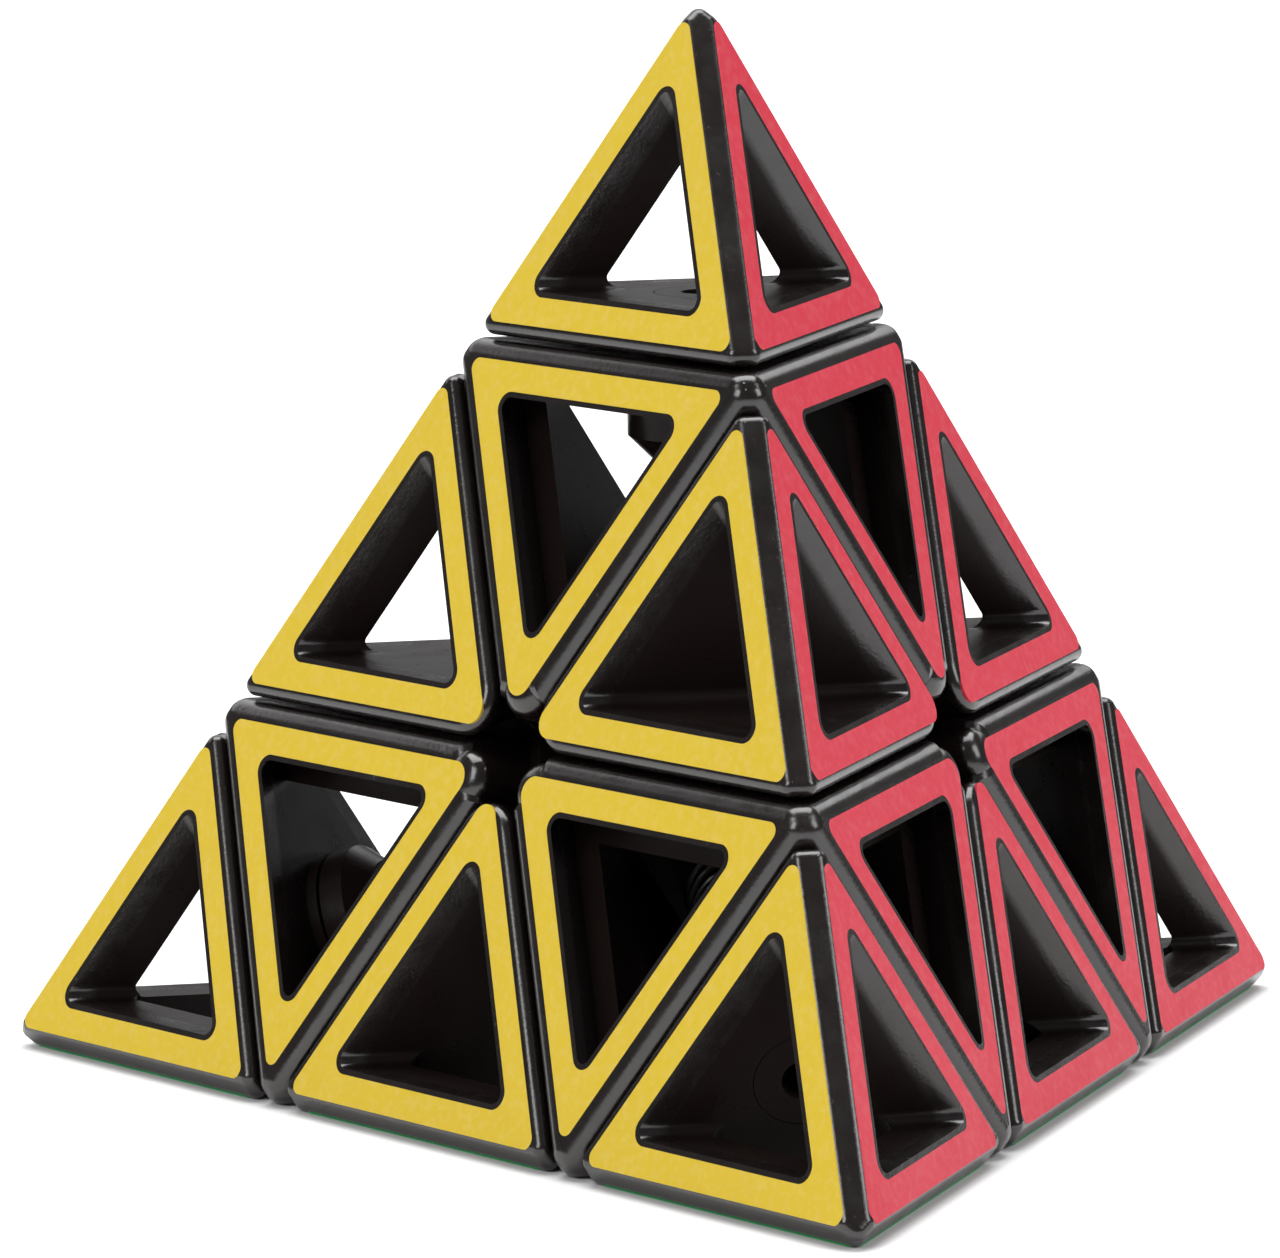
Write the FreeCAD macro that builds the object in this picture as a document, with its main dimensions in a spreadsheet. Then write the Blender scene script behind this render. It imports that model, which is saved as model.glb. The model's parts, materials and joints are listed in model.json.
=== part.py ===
"""Pyramid twisty puzzle: a hollow tetrahedral puzzle with four turning corners.

Every piece is modelled once, in a frame whose origin is the centre of the pyramid, and is then
linked into each of its places by turning it about that centre. The finished puzzle stands on a
face, with the middle of that face at the origin and one corner straight up.
"""
import FreeCAD
import Part
import Sketcher

import math
import os

V = FreeCAD.Vector

SIZES = [
    ("pyramid_edge", 98.0, "edge of the pyramid before its edges are flattened"),
    ("piece_gap", 0.3, "clearance between neighbouring pieces"),
    ("edge_flat_setback", 1.6, "how far the flat on a pyramid edge reaches into each face"),
    ("tetra_round", 0.78, "rounding of the tips and edge pieces"),
    ("octa_round", 1.4, "rounding of the axial pieces"),
    ("corner_round", 2.2, "corner of an axial piece next to the middle of a face"),
    ("channel_depth", 7.0, "how deep that corner is rounded"),
    ("inner_edge_round", 2.8, "inner edge of an edge piece, which ends at two such corners"),
    ("band_edge_inset", 1.83, "from a pyramid edge to the sticker"),
    ("band_cut_inset", 1.34, "from a cut between pieces to the sticker"),
    ("band_width", 2.1, "width of a sticker's band"),
    ("sticker_thickness", 0.2, "thickness of a sticker, sunk flush in its face"),
    ("band_outer_round", 0.7, "outer corners of a sticker"),
    ("band_middle_round", 1.2, "sticker corner next to the middle of a face"),
    ("band_inner_round", 1.1, "inner corners of a sticker"),
    ("hollow_reach", 2.0, "how far a hollow runs on past the face that it opens"),
    ("window_lip", 0.4, "bare rim between a sticker and its window"),
    ("window_round", 0.8, "corners of a window and of the hollow behind it"),
    ("ball_radius", 7.6, "ball in the middle of the core"),
    ("foot_radius", 11.0, "outside of the shell that the edge feet run in"),
    ("foot_angle", 69.0, "half angle of a layer's cone in the foot shell"),
    ("neck_angle", 62.0, "half angle of a layer's cone in the neck shell"),
    ("foot_reach", 42.0, "half angle of a foot, seen from the centre"),
    ("arm_radius", 3.0, "arm of the core"),
    ("arm_top", 10.6, "end of an arm, from the centre"),
    ("running_fit", 0.06, "radial play of a turning fit"),
    ("screw_radius", 1.4, "shank of an axis screw"),
    ("screw_head_radius", 3.0, "head of an axis screw"),
    ("screw_head_height", 1.8, "height of that head"),
    ("screw_tip", 4.0, "end of the screw, from the centre"),
    ("screw_seat", 18.2, "underside of the head, from the centre"),
    ("recess_width", 0.8, "slot of the cross recess"),
    ("recess_length", 3.4, "length of that slot"),
    ("recess_depth", 1.0, "depth of the cross recess"),
    ("washer_radius", 4.2, "washer under the screw head"),
    ("washer_thickness", 0.6, "its thickness"),
    ("spring_radius", 3.55, "mean radius of an axis spring"),
    ("spring_wire", 0.3, "radius of its wire"),
    ("spring_turns", 5.0, "number of turns"),
    ("inner_wall_step", 2.1, "extra thickness, behind the windows, of an axial piece's walls"),
    ("collar_radius", 5.6, "ring under the wall that a tip turns on"),
    ("collar_height", 0.8, "its height"),
    ("clip_stem_radius", 2.6, "stem of a tip clip"),
    ("clip_disc_radius", 5.4, "disc that holds the tip on"),
    ("clip_disc_height", 3.4, "its height"),
    ("clip_disc_bevel", 1.6, "bevel round the disc"),
    ("clip_head_radius", 3.4, "head of the clip, sunk flush in the tip's floor"),
    ("clip_head_height", 1.0, "its height"),
    ("clip_socket_radius", 1.5, "hole in the middle of the clip"),
]

AXES = {
    "top": V(0, 0, 1),
    "front": V(0, -2 * math.sqrt(2) / 3, -1 / 3),
    "left": V(-math.sqrt(2 / 3), math.sqrt(2) / 3, -1 / 3),
    "right": V(math.sqrt(2 / 3), math.sqrt(2) / 3, -1 / 3),
}
# each face is named for its colour and lies opposite one corner
FACES = {"yellow": "right", "red": "left", "blue": "front", "green": "top"}
EDGES = [("top", "left"), ("top", "front"), ("top", "right"),
         ("left", "front"), ("front", "right"), ("left", "right")]

# distances from the centre of the pyramid, and sizes of the cells that its cuts make
FACE_DISTANCE = "(Sizes.pyramid_edge * sqrt(6) / 12)"
PLATE_LEVEL = f"({FACE_DISTANCE} - Sizes.piece_gap / 2)"
DEEP_CUT = f"({FACE_DISTANCE} / 3)"
TIP_CUT = f"({FACE_DISTANCE} * 5 / 3)"
CELL_INRADIUS = "(Sizes.pyramid_edge * sqrt(3) / 18)"
OCTA_INRADIUS = "(Sizes.pyramid_edge * sqrt(6) / 18 - Sizes.piece_gap / 2)"
TETRA_INRADIUS = "(Sizes.pyramid_edge * sqrt(6) / 36 - Sizes.piece_gap / 2)"
EDGE_CELL_MIDDLE = "(Sizes.pyramid_edge * sqrt(2) / 6)"
TIP_CELL_MIDDLE = "(Sizes.pyramid_edge * sqrt(6) / 6)"
NECK_RADIUS = f"({DEEP_CUT} / cos(Sizes.neck_angle * 1deg))"
HALF_GAP = "Sizes.piece_gap / 2"
CUBE_HALF = ("(Sizes.pyramid_edge * sqrt(2) / 4 - Sizes.piece_gap * sqrt(3) / 2"
             " - Sizes.edge_flat_setback * sqrt(6) / 3)")

# The sides of a window are parallel to the neighbouring faces of its piece, so each wall is as
# thick as the window is far from the edge. A wall lies along a pyramid edge or along a cut.
EDGE_WALL = ("((Sizes.band_edge_inset + Sizes.band_width + Sizes.window_lip) * sqrt(8) / 3"
             " - Sizes.piece_gap * 2 / 3)")
CUT_WALL = ("((Sizes.band_cut_inset + Sizes.band_width + Sizes.window_lip) * sqrt(8) / 3"
            " - Sizes.piece_gap * 2 / 3)")
AXIAL_WALL = f"({CUT_WALL} + Sizes.piece_gap / 3)"

doc = FreeCAD.newDocument("PyramidPuzzle")
sheet = doc.addObject("Spreadsheet::Sheet", "Sizes")
for row, (alias, value, note) in enumerate(SIZES, start=1):
    sheet.set(f"A{row}", note)
    sheet.set(f"B{row}", str(value))
    sheet.setAlias(f"B{row}", alias)
doc.recompute()


def value_of(expression):
    """Value, in mm or degrees, of an expression over the sheet."""
    value = sheet.evalExpression(expression)
    return float(getattr(value, "Value", value))


def settle(thing, **properties):
    """Set properties: text is an expression over the sheet, anything else is a value."""
    for name, value in properties.items():
        path = name.replace("__", ".")
        if isinstance(value, str):
            thing.setExpression(path, value)
        else:
            setattr(thing, path, value)
    return thing


def add(kind, name, **properties):
    return settle(doc.addObject(kind, name), **properties)


def linked(source, name, rotation=None, **properties):
    """Another place for a piece: a link with a rotation about the centre of the pyramid."""
    link = doc.addObject("App::Link", name)
    link.LinkedObject = source
    link.Placement = FreeCAD.Placement(V(0, 0, 0), rotation or FreeCAD.Rotation())
    return settle(link, **properties)


def fused(name, *pieces):
    return add("Part::MultiFuse", name, Shapes=list(pieces))


def common(name, *pieces):
    return add("Part::MultiCommon", name, Shapes=list(pieces))


def cut(name, base, *tools):
    tool = tools[0] if len(tools) == 1 else fused(name + "Tools", *tools)
    return add("Part::Cut", name, Base=base, Tool=tool)


# ---- directions -------------------------------------------------------------------------------

def across(direction, axis):
    """Unit part of a direction that is square to an axis."""
    rest = direction - axis * direction.dot(axis)
    return rest.normalize()


def turn_to(z_axis, y_axis):
    """Rotation that carries +Z and +Y onto two directions that are square to each other."""
    return FreeCAD.Rotation(y_axis.cross(z_axis), y_axis, z_axis, "ZXY")


def others(*corners):
    return [name for name in AXES if name not in corners]


def corner_rotation(corner):
    """Carries the top corner's pieces to another corner."""
    reference = "front" if corner != "front" else "left"
    return turn_to(AXES[corner], across(AXES[reference], AXES[corner]) * -1)


def edge_rotation(first, second):
    """Carries an edge piece that lies along X, straight above the centre, to its place."""
    upward = (AXES[first] + AXES[second]).normalize()
    along = (AXES[first] - AXES[second]).normalize()
    return turn_to(upward, upward.cross(along))


def face_rotation(opposite, toward):
    """Carries a plate whose +Z points out and whose +Y points to a corner onto its face."""
    outward = AXES[opposite] * -1
    return turn_to(outward, across(AXES[toward], outward))


# ---- solids that the pieces are cut from ------------------------------------------------------

def octahedron(name, inradius):
    """Octahedron about the origin, with its corners on X, Y and Z."""
    size = f"{inradius} * sqrt(3)"
    square = add("Part::RegularPolygon", name + "Square", Polygon=4, Circumradius=size)
    above = add("Part::Vertex", name + "Above", Z=size)
    below = add("Part::Vertex", name + "Below", Z=f"-({size})")
    return add("Part::Loft", name, Sections=[above, square, below], Solid=True, Ruled=True)


def tetrahedron(name, inradius):
    """Tetrahedron about the origin, standing on a face, with one corner straight up."""
    triangle = add("Part::RegularPolygon", name + "Triangle", Polygon=3,
                   Circumradius=f"{inradius} * sqrt(8)", Placement__Base__z=f"-{inradius}")
    apex = add("Part::Vertex", name + "Apex", Z=f"{inradius} * 3")
    return add("Part::Loft", name, Sections=[triangle, apex], Solid=True, Ruled=True)


def placed(solid, rotation, height):
    """Turn a solid about the origin and lift it to a height."""
    solid.Placement = FreeCAD.Placement(V(0, 0, 0), rotation)
    return settle(solid, Placement__Base__z=height)


def lies_on(edge, planes):
    """Whether an edge lies in one of some planes, each given by its normal and its distance."""
    start, length = edge.FirstParameter, edge.LastParameter - edge.FirstParameter
    points = [edge.valueAt(start + length * part) for part in (0, 0.3, 0.7, 1)]
    return any(all(abs(point.dot(normal) - distance) < 1e-3 for point in points)
               for normal, distance in planes)


def rounded(base, name, *steps):
    """Body that rounds edges of a solid: each step is a radius and a test that picks edges."""
    body = doc.addObject("PartDesign::Body", name)
    body.BaseFeature = base
    doc.recompute()
    feature = body.Group[0]
    for number, (radius, wanted) in enumerate(steps, start=1):
        doc.recompute()
        edges = [f"Edge{index}" for index, edge in enumerate(feature.Shape.Edges, start=1)
                 if wanted(edge)]
        fillet = body.newObject("PartDesign::Fillet", f"{name}Fillet{number}")
        fillet.Base = (feature, edges)
        feature = settle(fillet, Radius=radius)
    return body


def every_edge(edge):
    return True


# ---- triangular plates on the faces -----------------------------------------------------------

def origin_plane(body, role):
    return next(item for item in body.Origin.OriginFeatures if item.Role == role)


def triangle_sketch(body, name, inradius, shift, level):
    """Equilateral triangle that points to +Y, parallel to XY at a level."""
    sketch = body.newObject("Sketcher::SketchObject", name)
    sketch.AttachmentSupport = [(origin_plane(body, "XY_Plane"), "")]
    sketch.MapMode = "FlatFace"
    settle(sketch, AttachmentOffset__Base__y=shift, AttachmentOffset__Base__z=level)
    radius = 2 * value_of(inradius)
    corners = [V(radius * math.cos(angle), radius * math.sin(angle), 0)
               for angle in (math.radians(90 + 120 * turn) for turn in range(3))]
    for index in range(3):
        sketch.addGeometry(Part.LineSegment(corners[index], corners[(index + 1) % 3]))
    circle = sketch.addGeometry(Part.Circle(V(0, 0, 0), V(0, 0, 1), radius), True)
    for index in range(3):
        sketch.addConstraint(Sketcher.Constraint("Coincident", index, 2, (index + 1) % 3, 1))
    sketch.addConstraint(Sketcher.Constraint("Coincident", circle, 3, -1, 1))
    for index in range(3):
        sketch.addConstraint(Sketcher.Constraint("PointOnObject", index, 1, circle))
    sketch.addConstraint(Sketcher.Constraint("Equal", 0, 1))
    sketch.addConstraint(Sketcher.Constraint("Equal", 1, 2))
    sketch.addConstraint(Sketcher.Constraint("PointOnObject", 0, 1, -2))
    size = sketch.addConstraint(Sketcher.Constraint("Radius", circle, radius))
    sketch.setExpression(f"Constraints[{size}]", f"2 * {inradius}")
    return sketch


def upright_edges(feature, wanted):
    """Names of the edges parallel to Z whose X, Y position passes a test."""
    names = []
    for number, edge in enumerate(feature.Shape.Edges, start=1):
        low, high = edge.Vertexes[0].Point, edge.Vertexes[-1].Point
        upright = math.hypot(low.x - high.x, low.y - high.y) < 1e-6
        if upright and edge.Length > 1e-3 and wanted(low):
            names.append(f"Edge{number}")
    return names


def round_corners(body, name, feature, wanted, radius):
    doc.recompute()
    fillet = body.newObject("PartDesign::Fillet", name)
    fillet.Base = (feature, upright_edges(feature, wanted))
    return settle(fillet, Radius=radius)


def triangle_plate(name, inradius, shift, level, depth, corner_round, apex_round):
    """Rounded triangular plate whose outer side is at a level and which reaches inward."""
    body = doc.addObject("PartDesign::Body", name)
    sketch = triangle_sketch(body, name + "Outline", inradius, shift, level)
    pad = body.newObject("PartDesign::Pad", name + "Pad")
    pad.Profile = sketch
    pad.Reversed = True
    settle(pad, Length=depth)
    doc.recompute()
    apex_y = value_of(shift) + 2 * value_of(inradius)
    corners = round_corners(body, name + "Corners", pad,
                            lambda point: point.y < apex_y - 1, corner_round)
    round_corners(body, name + "ApexCorner", corners,
                  lambda point: point.y > apex_y - 1e-3, apex_round)
    return body


def triangle_ring(name, outer, inner, shift, apex_round):
    """Sticker: a triangular plate with a triangular opening."""
    body = triangle_plate(name, outer, shift, PLATE_LEVEL, "Sizes.sticker_thickness",
                          "Sizes.band_outer_round", apex_round)
    before = body.Tip
    opening = triangle_sketch(body, name + "Opening", inner, shift, PLATE_LEVEL)
    doc.recompute()
    solid_volume = before.Shape.Volume
    pocket = body.newObject("PartDesign::Pocket", name + "Pocket")
    pocket.Profile = opening
    settle(pocket, Length="Sizes.sticker_thickness")
    doc.recompute()
    if pocket.Shape.Volume > solid_volume - 1:
        raise RuntimeError(name + ": the opening cuts nothing")
    reach = 2 * value_of(inner) + 1e-3
    middle = value_of(shift)
    round_corners(body, name + "OpeningCorners", pocket,
                  lambda point: math.hypot(point.x, point.y - middle) < reach,
                  "Sizes.band_inner_round")
    return body


# the sides of a cell are set in by a different amount at a pyramid edge and at a cut, which
# shrinks its triangle and moves it along the face
PLATES = {
    "axial": {"edges": 0, "centre": f"(-2 * {CELL_INRADIUS})", "lean": 0},
    "edge": {"edges": 1, "centre": f"(-2 * {CELL_INRADIUS})", "lean": 1},
    "tip": {"edges": 2, "centre": f"(4 * {CELL_INRADIUS})", "lean": -1},
}
INSET_STEP = "(Sizes.band_edge_inset - Sizes.band_cut_inset)"


def plate_inradius(kind, extra):
    plate = PLATES[kind]
    mean = f"(Sizes.band_cut_inset + {plate['edges']} * {INSET_STEP} / 3)"
    return f"({CELL_INRADIUS} - {mean} - {extra})"


def plate_shift(kind):
    plate = PLATES[kind]
    return f"({plate['centre']} + {plate['lean']} * 2 / 3 * {INSET_STEP})"


stickers = {}
for kind in PLATES:
    apex_round = "Sizes.band_outer_round" if kind == "tip" else "Sizes.band_middle_round"
    stickers[kind] = triangle_ring(
        kind.capitalize() + "Sticker", plate_inradius(kind, "0"),
        plate_inradius(kind, "Sizes.band_width"), plate_shift(kind), apex_round)


# ---- the turning layers inside ----------------------------------------------------------------
# Within the neck radius each layer is bounded by a cone about its axis instead of the flat cut,
# so feet can reach under their neighbours and every layer can still turn.

def layer_cap(name, angle, radius, offset):
    """Part of a ball inside a layer's cone; the offset moves the cone's wall along its normal."""
    half_angle = f"(Sizes.{angle} * 1deg)"
    cone = add("Part::Cone", name + "Cone", Radius1=0.0, Radius2=f"20 * tan({half_angle})",
               Height=20.0, Placement__Base__z=f"{offset} / sin({half_angle})")
    ball = add("Part::Sphere", name + "Ball", Radius=radius)
    return common(name, cone, ball)


foot_cap = layer_cap("FootCap", "foot_angle", f"(Sizes.foot_radius - {HALF_GAP})", HALF_GAP)
neck_cap = layer_cap("NeckCap", "neck_angle", f"({NECK_RADIUS} + 0.6)", HALF_GAP)
foot_room = layer_cap("FootRoom", "foot_angle", f"(Sizes.foot_radius + {HALF_GAP})",
                      "-" + HALF_GAP)
neck_room = layer_cap("NeckRoom", "neck_angle", f"({NECK_RADIUS} + {HALF_GAP})",
                      "-" + HALF_GAP)
layer_room = fused("LayerRoom", foot_room, neck_room)
ball_room = add("Part::Sphere", "BallRoom", Radius="Sizes.ball_radius + Sizes.piece_gap")


# ---- trimming the blocks -----------------------------------------------------------------------

def flats_cube(name, rotation):
    """Cube about the centre whose six faces are the flats on the pyramid's six edges."""
    cube = add("Part::Box", name, Length=f"2 * {CUBE_HALF}", Width=f"2 * {CUBE_HALF}",
               Height=f"2 * {CUBE_HALF}")
    middle = rotation.multVec(V(1, 1, 1))
    cube.Placement = FreeCAD.Placement(V(0, 0, 0), rotation)
    return settle(cube, Placement__Base__x=f"-{CUBE_HALF} * {middle.x}",
                  Placement__Base__y=f"-{CUBE_HALF} * {middle.y}",
                  Placement__Base__z=f"-{CUBE_HALF} * {middle.z}")


def outside_planes(faces, flats):
    """Planes of some faces of the pyramid and of some flats on its edges."""
    level, half = value_of(PLATE_LEVEL), value_of(CUBE_HALF)
    return [(normal, level) for normal in faces] + [(normal, half) for normal in flats]


# what is cut off a piece next to the middle of a face: all of a block but a cylinder in it
corner_channel = cut(
    "CornerChannel",
    add("Part::Box", "ChannelBlock", Length=16.0, Width=12.0, Height="Sizes.channel_depth + 1",
        Placement__Base__x="-8",
        Placement__Base__y="-(Sizes.piece_gap + 1.5 * Sizes.corner_round)",
        Placement__Base__z=f"{PLATE_LEVEL} - Sizes.channel_depth"),
    add("Part::Cylinder", "ChannelCorner", Radius="Sizes.corner_round",
        Height="Sizes.channel_depth + 3",
        Placement__Base__y="-(Sizes.piece_gap + 2 * Sizes.corner_round)",
        Placement__Base__z=f"{PLATE_LEVEL} - Sizes.channel_depth - 1"))


def opened(source, name, rotation, centre, shift, outward):
    """A hollow in its place: turned, and moved outward from a point on the Z axis."""
    return linked(source, name, rotation, Placement__Base__x=f"{shift} * {outward.x}",
                  Placement__Base__y=f"{shift} * {outward.y}",
                  Placement__Base__z=f"{centre} + {shift} * {outward.z}")


# ---- axial piece ------------------------------------------------------------------------------

axial_faces = others("top")
axial_turns = {face: face_rotation(face, "top").multiply(FreeCAD.Rotation(V(0, 0, 1), 180))
               for face in axial_faces}
outward = {face: AXES[face] * -1 for face in axial_faces}
edge_flats = {face: (AXES["top"] + AXES[face]).normalize() for face in axial_faces}
cube_upright = FreeCAD.Rotation(edge_flats["left"], edge_flats["front"], edge_flats["right"],
                                "ZXY")
cube_of_flats = flats_cube("EdgeFlats", cube_upright)

octa_upright = turn_to(V(1, 1, 1).normalize(), V(-2, 1, 1).normalize()).inverted()
axial_cell = placed(octahedron("AxialOctahedron", OCTA_INRADIUS), octa_upright, FACE_DISTANCE)
axial_trimmed = cut("AxialTrimmed", common("AxialFlattened", axial_cell, cube_of_flats),
                    *[linked(corner_channel, f"AxialChannel_{face}", axial_turns[face])
                      for face in axial_faces])
axial_outside = outside_planes(outward.values(), edge_flats.values())
axial_solid = rounded(axial_trimmed, "AxialBlock",
                      ("Sizes.octa_round", lambda edge: lies_on(edge, axial_outside)))
HOLLOW_INRADIUS = f"({OCTA_INRADIUS} - {AXIAL_WALL})"
quarter_turn = FreeCAD.Rotation(V(0, 0, 1), 90)
# behind the windows the three walls towards the edge pieces are thicker
hollow_block = placed(octahedron("AxialHollowBlock", HOLLOW_INRADIUS), octa_upright,
                      FACE_DISTANCE)
hollow_limit = placed(tetrahedron("AxialHollowLimit",
                                  f"({HOLLOW_INRADIUS} - 0.75 * Sizes.inner_wall_step)"),
                      quarter_turn.multiply(FreeCAD.Rotation(V(1, 0, 0), 180)),
                      f"{FACE_DISTANCE} + 0.75 * Sizes.inner_wall_step")
axial_hollow = common("AxialHollow", hollow_block, hollow_limit)
# three sides of the hollow run on outward past each open face, as the sides of its window
window_base = [(V(0, 0, -1), value_of(f"{HOLLOW_INRADIUS} / 2"))]
axial_window = rounded(tetrahedron("AxialWindowPoint", f"({HOLLOW_INRADIUS} / 2)"),
                       "AxialWindow",
                       ("Sizes.window_round", lambda edge: not lies_on(edge, window_base)))
axial_windows = [opened(axial_window, f"AxialWindow_{face}",
                        axial_turns[face].multiply(quarter_turn), FACE_DISTANCE,
                        f"1.5 * {HOLLOW_INRADIUS}", outward[face]) for face in axial_faces]
axial_recesses = [linked(stickers["axial"], f"AxialRecess_{face}", axial_turns[face])
                  for face in axial_faces]
AXIAL_FLOOR = f"({DEEP_CUT} + {HALF_GAP} + {AXIAL_WALL})"
AXIAL_CEILING = f"({TIP_CUT} - {HALF_GAP} - {AXIAL_WALL})"
collar = add("Part::Cylinder", "AxialCollar", Radius="Sizes.collar_radius",
             Height="Sizes.collar_height + 0.5",
             Placement__Base__z=f"{AXIAL_CEILING} - Sizes.collar_height")
flange = common("AxialFlange", fused("AxialCaps", foot_cap, neck_cap),
                add("Part::Sphere", "FlangeBall", Radius=NECK_RADIUS))
neighbour_rooms = [linked(layer_room, f"LayerRoom_{name}", corner_rotation(name))
                   for name in others("top")]
arm_bore = add("Part::Cylinder", "ArmBore", Radius="Sizes.arm_radius + Sizes.running_fit",
               Height=20.0)
clip_bore = add("Part::Cylinder", "ClipBore",
                Radius="Sizes.clip_stem_radius + Sizes.running_fit", Height=12.0,
                Placement__Base__z=f"{TIP_CUT} - 7")
axial_body = cut("AxialBody", fused("AxialFilled", axial_solid, flange), axial_hollow,
                 *axial_windows, *axial_recesses, *neighbour_rooms, ball_room, arm_bore)
axial_frame = cut("AxialFrame", fused("AxialWhole", axial_body, collar), clip_bore)


# ---- edge piece -------------------------------------------------------------------------------

# in its own frame an edge piece lies along X between two layers, and faces +Y and -Y
EDGE_AXES = (V(math.sqrt(2 / 3), 0, math.sqrt(1 / 3)), V(-math.sqrt(2 / 3), 0, math.sqrt(1 / 3)))
EDGE_FACES = (V(0, math.sqrt(2 / 3), math.sqrt(1 / 3)), V(0, -math.sqrt(2 / 3), math.sqrt(1 / 3)))
edge_turns = [turn_to(face, across(V(0, 0, -1), face)) for face in EDGE_FACES]
edge_upright = turn_to((V(0, 0, 1) + V(math.sqrt(8) / 3, 0, -1 / 3)).normalize(),
                       V(0, 1, 0)).inverted()
edge_cell = placed(tetrahedron("EdgeTetrahedron", TETRA_INRADIUS), edge_upright,
                   EDGE_CELL_MIDDLE)
edge_cube = flats_cube("EdgePieceFlats", FreeCAD.Rotation(V(0, 0, 1), 45))
shell_room = add("Part::Sphere", "EdgeShellRoom", Radius=f"{NECK_RADIUS} + {HALF_GAP}")
edge_outside = outside_planes(EDGE_FACES, [V(0, 0, 1)])
edge_solid = rounded(
    common("EdgeFlattened", edge_cell, edge_cube), "EdgeBlock",
    ("Sizes.inner_edge_round",
     lambda edge: all(abs(vertex.X) < 1e-3 and vertex.Z < 15 for vertex in edge.Vertexes)),
    ("Sizes.tetra_round", lambda edge: lies_on(edge, edge_outside)))
# each hollow has three sides parallel to the piece's other faces and passes the face it opens
edge_hollow = rounded(
    tetrahedron("EdgeHollowBlock",
                f"({TETRA_INRADIUS} - ({EDGE_WALL} + 2 * {CUT_WALL} - Sizes.hollow_reach) / 4)"),
    "EdgeHollow", ("Sizes.window_round", every_edge))
edge_hollows = []
for number, (facing, away) in enumerate((EDGE_FACES, EDGE_FACES[::-1]), start=1):
    out = f"0.75 * (Sizes.hollow_reach + {CUT_WALL})"
    back = f"0.75 * ({EDGE_WALL} - {CUT_WALL})"
    edge_hollows.append(linked(
        edge_hollow, f"EdgeHollow_{number}", edge_upright,
        Placement__Base__y=f"{out} * {facing.y} - {back} * {away.y}",
        Placement__Base__z=f"{EDGE_CELL_MIDDLE} + {out} * {facing.z} - {back} * {away.z}"))
edge_recesses = [linked(stickers["edge"], f"EdgeRecess_{number}", turn)
                 for number, turn in enumerate(edge_turns, start=1)]


def shared_by_layers(name, cap):
    """What two neighbouring layers have in common."""
    sides = [linked(cap, f"{name}_{number}", FreeCAD.Rotation(V(0, 0, 1), axis))
             for number, axis in enumerate(EDGE_AXES, start=1)]
    return common(name, *sides)


foot = common("EdgeFoot", shared_by_layers("EdgeFootLens", foot_cap),
              add("Part::Cone", "FootReach", Radius1=0.0, Height=20.0,
                  Radius2="20 * tan(Sizes.foot_reach * 1deg)"))
neck = shared_by_layers("EdgeNeck", neck_cap)
edge_shell = cut("EdgeShell", edge_solid, shell_room, *edge_hollows, *edge_recesses)
edge_frame = cut("EdgeFrame", fused("EdgeWhole", edge_shell, neck, foot), ball_room)


# ---- tip --------------------------------------------------------------------------------------

tip_upright = FreeCAD.Rotation(V(0, 0, 1), -90)
tip_cell = placed(tetrahedron("TipTetrahedron", TETRA_INRADIUS), tip_upright, TIP_CELL_MIDDLE)
tip_solid = rounded(common("TipTrimmed", tip_cell, cube_of_flats), "TipBlock",
                    ("Sizes.tetra_round", every_edge))
tip_hollow = rounded(
    tetrahedron("TipHollowBlock",
                f"({TETRA_INRADIUS} - (2 * {EDGE_WALL} + {CUT_WALL} - Sizes.hollow_reach) / 4)"),
    "TipHollow", ("Sizes.window_round", every_edge))
tip_hollows = [opened(tip_hollow, f"TipHollow_{face}", tip_upright,
                      f"{TIP_CELL_MIDDLE} - 0.75 * ({EDGE_WALL} - {CUT_WALL})",
                      f"0.75 * (Sizes.hollow_reach + {EDGE_WALL})", outward[face])
               for face in axial_faces]
tip_recesses = [linked(stickers["tip"], f"TipRecess_{face}", face_rotation(face, "top"))
                for face in axial_faces]
TIP_FLOOR = f"({TIP_CUT} + {HALF_GAP} + {CUT_WALL})"
stem_hole = add("Part::Cylinder", "StemHole", Radius="Sizes.clip_stem_radius", Height=8.0,
                Placement__Base__z=f"{TIP_CUT} - 2")
head_seat = add("Part::Cylinder", "HeadSeat",
                Radius="Sizes.clip_head_radius + Sizes.running_fit", Height=4.0,
                Placement__Base__z=f"{TIP_FLOOR} - Sizes.clip_head_height")
tip_frame = cut("TipFrame", tip_solid, *tip_hollows, *tip_recesses, stem_hole, head_seat)


# ---- round parts on an axis -------------------------------------------------------------------

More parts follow.
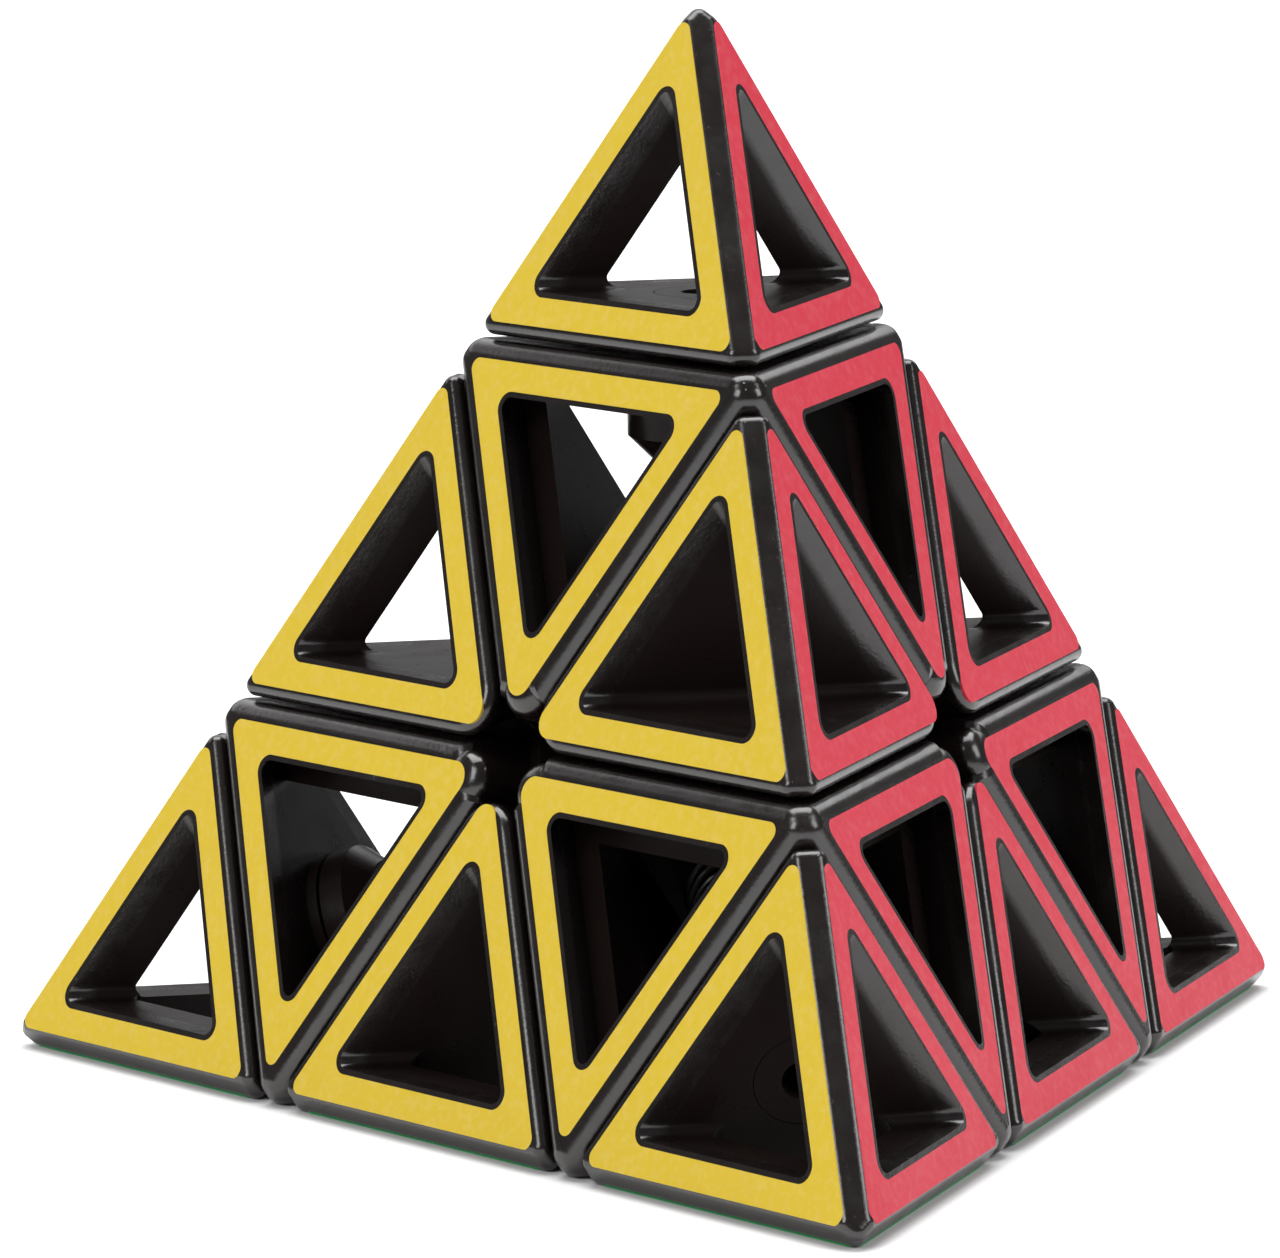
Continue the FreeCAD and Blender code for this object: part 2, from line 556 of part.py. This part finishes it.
def turned(name, radii, levels):
    """Body turned about Z from a stepped profile: one radius, and its end level, per step."""
    body = doc.addObject("PartDesign::Body", name)
    sketch = body.newObject("Sketcher::SketchObject", name + "Profile")
    sketch.AttachmentSupport = [(origin_plane(body, "XZ_Plane"), "")]
    sketch.MapMode = "FlatFace"
    corners = [(None, levels[0])]
    for index, radius in enumerate(radii):
        corners += [(radius, levels[index]), (radius, levels[index + 1])]
    corners.append((None, levels[-1]))
    points = [V(value_of(radius) if radius else 0, value_of(level), 0)
              for radius, level in corners]
    count = len(points)
    for index in range(count):
        sketch.addGeometry(Part.LineSegment(points[index], points[(index + 1) % count]))
    for index in range(count):
        sketch.addConstraint(Sketcher.Constraint("Coincident", index, 2, (index + 1) % count, 1))
    for index, (radius, level) in enumerate(corners):
        if radius is None:
            sketch.addConstraint(Sketcher.Constraint("PointOnObject", index, 1, -2))
        else:
            size = sketch.addConstraint(
                Sketcher.Constraint("DistanceX", -1, 1, index, 1, points[index].x))
            sketch.setExpression(f"Constraints[{size}]", radius)
        height = sketch.addConstraint(
            Sketcher.Constraint("DistanceY", -1, 1, index, 1, points[index].y))
        sketch.setExpression(f"Constraints[{height}]", level)
    revolution = body.newObject("PartDesign::Revolution", name + "Turned")
    revolution.Profile = sketch
    revolution.ReferenceAxis = (sketch, ["V_Axis"])
    revolution.Angle = 360
    doc.recompute()
    return body


clip_under = f"{AXIAL_CEILING} - Sizes.collar_height - {HALF_GAP}"
clip_seat = f"{TIP_FLOOR} - Sizes.clip_head_height"
clip_bottom = f"{clip_under} - Sizes.clip_disc_height"
clip_body = turned("ClipBody",
                   ["Sizes.clip_disc_radius", "Sizes.clip_stem_radius",
                    "Sizes.clip_head_radius"],
                   [clip_bottom, clip_under, clip_seat, TIP_FLOOR])
clip_turned = clip_body.Tip
disc_rim = [f"Edge{number}" for number, edge in enumerate(clip_turned.Shape.Edges, start=1)
            if abs(edge.BoundBox.ZMax - value_of(clip_bottom)) < 1e-3 and edge.Length > 10]
disc_bevel = clip_body.newObject("PartDesign::Chamfer", "ClipBevel")
disc_bevel.Base = (clip_turned, disc_rim)
settle(disc_bevel, Size="Sizes.clip_disc_bevel")
tip_clip = cut("TipClip", clip_body,
               add("Part::Cylinder", "ClipSocket", Radius="Sizes.clip_socket_radius",
                   Height=12.0, Placement__Base__z=clip_under))

head_top = "Sizes.screw_seat + Sizes.screw_head_height"
screw_body = turned("ScrewBody", ["Sizes.screw_radius", "Sizes.screw_head_radius"],
                    ["Sizes.screw_tip", "Sizes.screw_seat", head_top])
slots = []
for name, length, width in (("SlotAlong", "recess_length", "recess_width"),
                            ("SlotAcross", "recess_width", "recess_length")):
    slots.append(add("Part::Box", name, Length=f"Sizes.{length}", Width=f"Sizes.{width}",
                     Height=3.0, Placement__Base__x=f"-Sizes.{length} / 2",
                     Placement__Base__y=f"-Sizes.{width} / 2",
                     Placement__Base__z=f"{head_top} - Sizes.recess_depth"))
axis_screw = cut("AxisScrew", screw_body, *slots)

washer_level = "Sizes.screw_seat - Sizes.washer_thickness"
axis_washer = cut("AxisWasher",
                  add("Part::Cylinder", "WasherDisc", Radius="Sizes.washer_radius",
                      Height="Sizes.washer_thickness", Placement__Base__z=washer_level),
                  add("Part::Cylinder", "WasherHole",
                      Radius="Sizes.screw_radius + Sizes.running_fit", Height=20.0))

spring_low = f"({AXIAL_FLOOR} + Sizes.spring_wire + 0.1)"
spring_height = f"({washer_level} - Sizes.spring_wire - 0.05 - {spring_low})"
coil = add("Part::Helix", "SpringCoil", Radius="Sizes.spring_radius", Height=spring_height,
           Pitch=f"{spring_height} / Sizes.spring_turns", Placement__Base__z=spring_low)
wire = add("Part::RegularPolygon", "SpringWire", Polygon=12, Circumradius="Sizes.spring_wire")
wire.Placement = FreeCAD.Placement(V(0, 0, 0), FreeCAD.Rotation(V(1, 0, 0), 90))
settle(wire, Placement__Base__x="Sizes.spring_radius", Placement__Base__z=spring_low)
axis_spring = add("Part::Sweep", "AxisSpring", Sections=[wire], Spine=(coil, []), Solid=True,
                  Frenet=True)

arm = add("Part::Cylinder", "CoreArm", Radius="Sizes.arm_radius", Height="Sizes.arm_top")
screw_hole = add("Part::Cylinder", "ScrewHole",
                 Radius="Sizes.screw_radius + Sizes.running_fit", Height=12.0,
                 Placement__Base__z="Sizes.screw_tip - 0.2")
arms = [linked(arm, f"CoreArm_{name}", corner_rotation(name)) for name in AXES]
screw_holes = [linked(screw_hole, f"ScrewHole_{name}", corner_rotation(name)) for name in AXES]
core = cut("CoreBody",
           fused("CoreSolid", add("Part::Sphere", "CoreBall", Radius="Sizes.ball_radius"),
                 *arms),
           *screw_holes)


# ---- the pieces in their places ---------------------------------------------------------------

nodes = []


def place(source, name, rotation=None):
    """Put a piece into the finished puzzle, which stands on the face named green."""
    nodes.append(linked(source, name, rotation))


def place_group(source, name):
    """Put four equal fasteners, one on each axis, into one node."""
    members = [linked(source, f"{name}_{corner}", corner_rotation(corner)) for corner in AXES]
    nodes.append(add("Part::Compound", name, Links=members))


place(core, "core")
place_group(axis_screw, "axis_screws")
place_group(axis_washer, "axis_washers")
place_group(axis_spring, "axis_springs")
for corner in AXES:
    place(axial_frame, f"axial_frame_{corner}", corner_rotation(corner))
    place(tip_frame, f"tip_frame_{corner}", corner_rotation(corner))
    place(tip_clip, f"tip_clip_{corner}", corner_rotation(corner))
for first, second in EDGES:
    place(edge_frame, f"edge_frame_{first}_{second}", edge_rotation(first, second))
half_turn = FreeCAD.Rotation(V(0, 0, 1), 180)
for colour, opposite in FACES.items():
    for corner in others(opposite):
        to_corner = face_rotation(opposite, corner)
        place(stickers["tip"], f"sticker_{colour}_tip_{corner}", to_corner)
        place(stickers["axial"], f"sticker_{colour}_axial_{corner}",
              to_corner.multiply(half_turn))
    for first, second in EDGES:
        if opposite not in (first, second):
            third = others(opposite, first, second)[0]
            place(stickers["edge"], f"sticker_{colour}_edge_{first}_{second}",
                  face_rotation(opposite, third))
doc.recompute()

failed = [thing.Name for thing in doc.Objects
          if "Invalid" in thing.State or "Error" in thing.State]
if failed:
    raise RuntimeError("objects that did not compute: " + ", ".join(failed))
for node in nodes:
    if node.Shape.isNull() or not node.Shape.isValid():
        raise RuntimeError("bad shape: " + node.Label)

os.makedirs("parts", exist_ok=True)
for node in nodes:
    node.Shape.exportStep(f"parts/{node.Label}.step")
    print(node.Label, round(node.Shape.Volume, 2), len(node.Shape.Solids))
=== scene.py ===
"""Looks of the hollow pyramid puzzle: glossy black pieces, satin bands, soft studio light."""

import json
import math

import bpy
from mathutils import Matrix, Vector

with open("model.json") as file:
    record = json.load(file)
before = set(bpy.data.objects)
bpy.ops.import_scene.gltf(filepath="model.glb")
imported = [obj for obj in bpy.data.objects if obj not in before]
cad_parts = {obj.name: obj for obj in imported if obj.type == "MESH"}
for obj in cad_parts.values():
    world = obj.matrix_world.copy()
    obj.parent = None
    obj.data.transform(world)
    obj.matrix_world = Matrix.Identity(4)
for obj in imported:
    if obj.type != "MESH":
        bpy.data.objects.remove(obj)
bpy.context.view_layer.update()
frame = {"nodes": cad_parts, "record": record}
NODES = frame["nodes"]
scene = bpy.context.scene

# the four outer faces: the way each looks, and how far it is from the middle of the puzzle
FACE_NORMALS = [(0.0, 0.0, -1.0), (0.0, math.sqrt(8) / 3, 1 / 3),
                (math.sqrt(2 / 3), -math.sqrt(2) / 3, 1 / 3),
                (-math.sqrt(2 / 3), -math.sqrt(2) / 3, 1 / 3)]
RESTING_FACE = frame["record"]["mounts"][0]
FACE_LEVEL = -RESTING_FACE["pos_m"][2]

# depths below the outer faces: the polish is whole above the first and gone below the second;
# below the second the base colour is fully painted lighter, painted fill light for the shaded
# hollows
POLISHED_DEPTH = 0.0011
DULL_AND_PAINTED_LIGHT_DEPTH = 0.0017


# ---- shader helpers ---------------------------------------------------------------------------

def new_material(name):
    material = bpy.data.materials.new(name)
    material.use_nodes = True
    tree = material.node_tree
    shader = next(node for node in tree.nodes if node.type == "BSDF_PRINCIPLED")
    return material, tree, shader


def add_node(tree, kind, inputs=None, **settings):
    """Shader node with its settings made and its inputs linked to sockets or set to values."""
    node = tree.nodes.new(kind)
    for key, value in settings.items():
        setattr(node, key, value)
    for key, value in (inputs or {}).items():
        if isinstance(value, bpy.types.NodeSocket):
            tree.links.new(value, node.inputs[key])
        else:
            node.inputs[key].default_value = value
    return node


def noise(tree, place, scale, detail=4.0, roughness=0.55):
    """Noise about 0.5, with scale features per metre and detail octaves of finer ones."""
    return add_node(tree, "ShaderNodeTexNoise",
                    {"Vector": place, "Scale": scale, "Detail": detail,
                     "Roughness": roughness}).outputs["Fac"]


def spread(tree, value, low, high, to_low, to_high):
    """The range from low to high stretched over the range from to_low to to_high."""
    return add_node(tree, "ShaderNodeMapRange",
                    {"Value": value, "From Min": low, "From Max": high, "To Min": to_low,
                     "To Max": to_high}).outputs["Result"]


def mixed(tree, factor, first, second):
    """Colour that goes from first to second as factor goes from 0 to 1."""
    return add_node(tree, "ShaderNodeMix", {"Factor": factor, 6: first, 7: second},
                    data_type="RGBA").outputs[2]


def blend(tree, factor, low, high):
    """Number that goes from low to high as factor goes from 0 to 1."""
    return add_node(tree, "ShaderNodeMix", {"Factor": factor, 2: low, 3: high},
                    data_type="FLOAT").outputs[0]


def math_node(tree, operation, first, second):
    return add_node(tree, "ShaderNodeMath", {0: first, 1: second}, operation=operation).outputs[0]


def add_bump(tree, shader, height, strength, distance):
    bump = add_node(tree, "ShaderNodeBump",
                    {"Height": height, "Strength": strength, "Distance": distance})
    tree.links.new(bump.outputs["Normal"], shader.inputs["Normal"])


def object_place(tree):
    return add_node(tree, "ShaderNodeTexCoord").outputs["Object"]


def brighter(colour, factor):
    return [channel * factor for channel in colour[:3]] + [1]


def paler(colour, share):
    return [channel + (1 - channel) * share for channel in colour[:3]] + [1]


# ---- materials --------------------------------------------------------------------------------

def skin(tree, place):
    """1 on the outer faces and their rounded rims, 0 in the hollows and the gaps, where the base
    colour is painted lighter as painted fill light.
    """
    levels = [add_node(tree, "ShaderNodeVectorMath", {0: place, 1: outward},
                       operation="DOT_PRODUCT").outputs["Value"] for outward in FACE_NORMALS]
    highest = levels[0]
    for level in levels[1:]:
        highest = math_node(tree, "MAXIMUM", highest, level)
    return spread(tree, highest, FACE_LEVEL - DULL_AND_PAINTED_LIGHT_DEPTH, FACE_LEVEL - POLISHED_DEPTH, 0.0, 1.0)


def moulded_plastic(name, colour, dust, roughness, inner_roughness, gloss, inner_gloss):
    """Moulded plastic, polished outside and duller in its hollows, with haze, smears and dust; its
    base colour is painted lighter in the hollows, painted fill light for the shade there.
    """
    material, tree, shader = new_material(name)
    place = object_place(tree)
    outside = skin(tree, place)

    haze = spread(tree, noise(tree, place, 90.0, 5.0), 0.35, 0.7, 0.0, 1.0)
    outer_colour = mixed(tree, haze, colour, brighter(colour, 1.5))
    # painted fill light: in the hollows the base colour is 1.7 times lighter, standing in for
    # light in their shade
    colour_with_painted_hollow_light = mixed(tree, outside, brighter(colour, 1.7), outer_colour)
    specks = spread(tree, noise(tree, place, 2600.0, 2.0), 0.66, 0.78, 0.0, 0.5)
    dusty = blend(tree, outside, 0.0, specks)
    tree.links.new(mixed(tree, dusty, colour_with_painted_hollow_light, dust), shader.inputs["Base Color"])

    smears = noise(tree, place, 320.0, 6.0, 0.7)
    polished, dull = (spread(tree, smears, 0.3, 0.75, middle - 0.05, middle + 0.1)
                      for middle in (roughness, inner_roughness))
    tree.links.new(blend(tree, outside, dull, polished), shader.inputs["Roughness"])
    tree.links.new(blend(tree, outside, inner_gloss, gloss), shader.inputs["Specular IOR Level"])

    ripple = math_node(tree, "MULTIPLY", noise(tree, place, 60.0, 2.0), 3.0)
    grain = noise(tree, place, 3400.0, 3.0)
    add_bump(tree, shader, math_node(tree, "ADD", ripple, grain), 0.3, 0.00004)
    return material


def vinyl(name, colour, shadow, bloom):
    """Printed vinyl band: faint mottling, a paler bloom, orange-peel surface, worn sheen."""
    material, tree, shader = new_material(name)
    place = object_place(tree)
    mottle = noise(tree, place, 140.0, 5.0, 0.6)
    print_colour = mixed(tree, spread(tree, mottle, 0.35, 0.68, 0.0, 0.35), colour, shadow)
    wear = spread(tree, noise(tree, place, 1500.0, 3.0), 0.45, 0.8, 0.0, 0.5)
    tree.links.new(mixed(tree, wear, print_colour, paler(colour, bloom)),
                   shader.inputs["Base Color"])
    tree.links.new(spread(tree, mottle, 0.3, 0.7, 0.34, 0.48), shader.inputs["Roughness"])
    shader.inputs["Specular IOR Level"].default_value = 0.4
    add_bump(tree, shader, noise(tree, place, 900.0, 4.0), 0.25, 0.00003)
    return material


def oiled_steel(name):
    """Blackened and oiled steel with fine grain and dull patches."""
    material, tree, shader = new_material(name)
    place = object_place(tree)
    patches = noise(tree, place, 500.0, 5.0)
    tree.links.new(mixed(tree, patches, (0.045, 0.044, 0.043, 1), (0.11, 0.108, 0.105, 1)),
                   shader.inputs["Base Color"])
    tree.links.new(spread(tree, patches, 0.3, 0.7, 0.22, 0.42), shader.inputs["Roughness"])
    shader.inputs["Metallic"].default_value = 1.0
    add_bump(tree, shader, noise(tree, place, 4000.0, 2.0), 0.15, 0.00002)
    return material


BLACK = moulded_plastic("glossy_black", colour=(0.0066, 0.0043, 0.0038, 1),
                        dust=(0.072, 0.064, 0.060, 1), roughness=0.2, inner_roughness=0.3,
                        gloss=0.9, inner_gloss=0.18)
NYLON = moulded_plastic("satin_nylon", colour=(0.010, 0.010, 0.011, 1),
                        dust=(0.06, 0.06, 0.06, 1), roughness=0.5, inner_roughness=0.5,
                        gloss=0.4, inner_gloss=0.2)
STEEL = oiled_steel("oiled_steel")
BANDS = {
    "yellow": vinyl("vinyl_yellow", (0.70, 0.50, 0.037, 1), (0.64, 0.44, 0.024, 1), 0.12),
    "red": vinyl("vinyl_red", (0.70, 0.038, 0.070, 1), (0.60, 0.027, 0.052, 1), 0.12),
    "blue": vinyl("vinyl_blue", (0.02, 0.12, 0.56, 1), (0.012, 0.085, 0.44, 1), 0.03),
    "green": vinyl("vinyl_green", (0.02, 0.36, 0.10, 1), (0.012, 0.27, 0.07, 1), 0.03),
}


def material_for(name):
    """Material of a node, told by its name, such as sticker_red_tip_top or axis_screws."""
    if name.startswith("sticker_"):
        return BANDS[name.split("_")[1]]
    if name.startswith("axis_"):
        return STEEL
    return NYLON if name == "core" else BLACK


for name, node in NODES.items():
    for slot in node.material_slots:
        slot.material = material_for(name)


# ---- floor and world --------------------------------------------------------------------------

FLOOR_REACH = 6.0
FLOOR_GAP = 0.00004
FLOOR_LEVEL = -FACE_LEVEL - FLOOR_GAP
FLOOR_CORNERS = [(-1, -1), (1, -1), (1, 1), (-1, 1)]

floor_mesh = bpy.data.meshes.new("floor")
floor_mesh.from_pydata([(x * FLOOR_REACH, y * FLOOR_REACH, FLOOR_LEVEL) for x, y in FLOOR_CORNERS],
                       [], [(0, 1, 2, 3)])
floor = bpy.data.objects.new("floor", floor_mesh)
scene.collection.objects.link(floor)
paper, _, paper_shader = new_material("pale_floor")
paper_shader.inputs["Base Color"].default_value = (0.95, 0.95, 0.95, 1)
paper_shader.inputs["Roughness"].default_value = 0.8
floor_mesh.materials.append(paper)

world = bpy.data.worlds.new("studio")
world.use_nodes = True
world.node_tree.nodes["Background"].inputs["Color"].default_value = (1, 1, 1, 1)
world.node_tree.nodes["Background"].inputs["Strength"].default_value = 0.13
scene.world = world
scene.view_settings.view_transform = "Standard"


# ---- lights -----------------------------------------------------------------------------------

def area_light(name, location, aim, size, power):
    """Rectangular lamp of the given size in metres and power in watts, turned towards aim."""
    data = bpy.data.lights.new(name, "AREA")
    data.shape = "RECTANGLE"
    data.size, data.size_y = size
    data.energy = power
    lamp = bpy.data.objects.new(name, data)
    lamp.location = location
    lamp.rotation_euler = (Vector(aim) - Vector(location)).to_track_quat("-Z", "Y").to_euler()
    scene.collection.objects.link(lamp)


# the two keys light the yellow and the red face, and the backdrop lamp whitens the floor behind
area_light("left_key", (-0.535, -0.45, 0.484), (0, 0, 0), (0.35, 0.5), 2.6)
area_light("right_key", (0.561, -0.425, 0.476), (0, 0, 0), (0.35, 0.5), 2.25)
area_light("overhead", (0.0, 0.25, 1.1), (0, 0.05, 0), (1.2, 0.8), 15.0)
area_light("backdrop", (0.0, 1.15, 0.6), (0, 1.15, 0), (2.4, 1.1), 13.0)


# ---- camera -----------------------------------------------------------------------------------

# a long lens in front of the puzzle, a little to its left and above it, rolled by under a degree;
# the shifts are how far the middle of the puzzle is to the right of and above that of the view
AZIMUTH, ELEVATION, ROLL = math.radians(-9.60), math.radians(8.93), math.radians(-0.845)
DISTANCE = 0.627788
SHIFT_RIGHT, SHIFT_UP = 0.004914, -0.012830
SENSOR_WIDTH, FOCAL_LENGTH = 36.0, 250.0

back = Vector((math.sin(AZIMUTH) * math.cos(ELEVATION),
               -math.cos(AZIMUTH) * math.cos(ELEVATION), math.sin(ELEVATION)))
level_right = Vector((math.cos(AZIMUTH), math.sin(AZIMUTH), 0.0))
level_up = back.cross(level_right)
right = level_right * math.cos(ROLL) + level_up * math.sin(ROLL)
up = level_up * math.cos(ROLL) - level_right * math.sin(ROLL)
stand = back * DISTANCE - right * SHIFT_RIGHT - up * SHIFT_UP

camera_data = bpy.data.cameras.new("camera")
camera_data.sensor_width = SENSOR_WIDTH
camera_data.lens = FOCAL_LENGTH
camera = bpy.data.objects.new("camera", camera_data)
scene.collection.objects.link(camera)
camera.matrix_world = Matrix([[right[row], up[row], back[row], stand[row]] for row in range(3)]
                             + [[0, 0, 0, 1]])
scene.camera = camera
